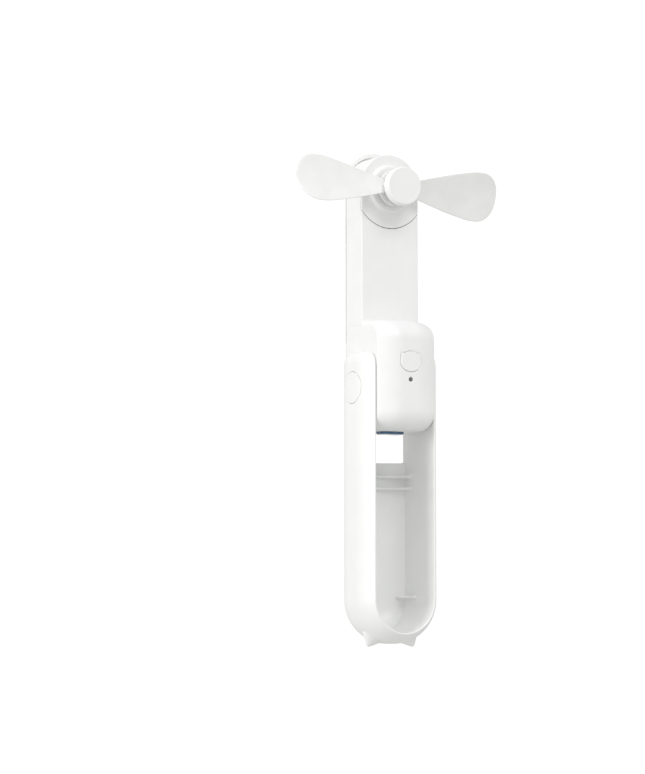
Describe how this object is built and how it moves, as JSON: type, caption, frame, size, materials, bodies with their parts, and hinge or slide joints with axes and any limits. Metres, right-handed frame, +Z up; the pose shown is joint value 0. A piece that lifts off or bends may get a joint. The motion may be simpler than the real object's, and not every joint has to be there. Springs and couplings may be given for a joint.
{
  "type": "folding pocket fan",
  "caption": "Folding pocket fan: slim handle with a bladed rotor at its head, control block, and a hinged channel-shaped cover that folds over the rotor.",
  "frame": {"origin": "middle of the cover's hinge axis, half-way between the two hinge pins", "axes": "+Z up the handle towards the rotor, -Y the way the fan blows, +X to the right seen from the front, along the hinge axis"},
  "size_m": [0.11, 0.0403, 0.2391],
  "materials": {
    "shell_white": "satin moulded ABS",
    "blade_white": "satin moulded soft plastic",
    "smoke_window": "smoked light window",
    "tinted_lens": "polished tinted polycarbonate",
    "led_emitter": "cast resin",
    "steel": "turned and stamped steel",
    "circuit_board": "solder mask",
    "black_plastic": "moulded",
    "cell_wrap": "shrink wrap",
    "wire_red": "PVC insulation",
    "wire_black": "PVC insulation"
  },
  "bodies": {
    "handle": {"rear_case": "shell_white", "front_case": "shell_white", "head_plate": "shell_white", "status_led": "smoke_window", "light_lens": "tinted_lens", "torch_led": "led_emitter", "charge_port": "steel", "control_board": "circuit_board", "button_switch": "black_plastic", "battery_cell": "cell_wrap", "motor_can": "steel", "motor_screw_left": "steel", "motor_screw_right": "steel", "motor_lead_left": "wire_red", "motor_lead_right": "wire_black", "battery_lead_left": "wire_red", "battery_lead_right": "wire_black", "hinge_pin_left": "steel", "hinge_pin_right": "steel", "hinge_washer_left": "steel", "hinge_washer_right": "steel"},
    "cover": {"cover": "shell_white", "hinge_cap_left": "shell_white", "hinge_cap_right": "shell_white"},
    "rotor": {"motor_shaft": "steel", "hub_base": "blade_white", "hub_cap": "shell_white", "blade_pin_left": "steel", "blade_pin_right": "steel"},
    "left_blade": {"blade_left": "blade_white"},
    "right_blade": {"blade_right": "blade_white"},
    "button": {"power_button": "shell_white"}
  },
  "joints": [
    {"name": "cover_fold", "type": "hinge", "parent": "handle", "child": "cover", "pos_m": [0, 0, 0], "axis": [-1, 0, 0], "range_deg": [0, 180], "deforming": ["blade_left", "blade_right"]},
    {"name": "rotor_spin", "type": "hinge", "parent": "handle", "child": "rotor", "pos_m": [0, 0, 0.0965], "axis": [0, 1, 0], "continuous": true},
    {"name": "blade_left_fold", "type": "hinge", "parent": "rotor", "child": "left_blade", "pos_m": [-0.0052, 0, 0.09668], "axis": [0, -1, 0], "range_deg": [0, 94.5]},
    {"name": "blade_right_fold", "type": "hinge", "parent": "rotor", "child": "right_blade", "pos_m": [0.0052, 0, 0.09632], "axis": [0, 1, 0], "range_deg": [0, 90.5]},
    {"name": "button_press", "type": "slide", "parent": "handle", "child": "button", "axis": [0, 1, 0], "range_m": [0, 0.0006]}
  ],
  "couplings": [
    {"joint": "blade_left_fold", "follows": "cover_fold", "ratio": 0.525},
    {"joint": "blade_right_fold", "follows": "cover_fold", "ratio": 0.50278}
  ]
}
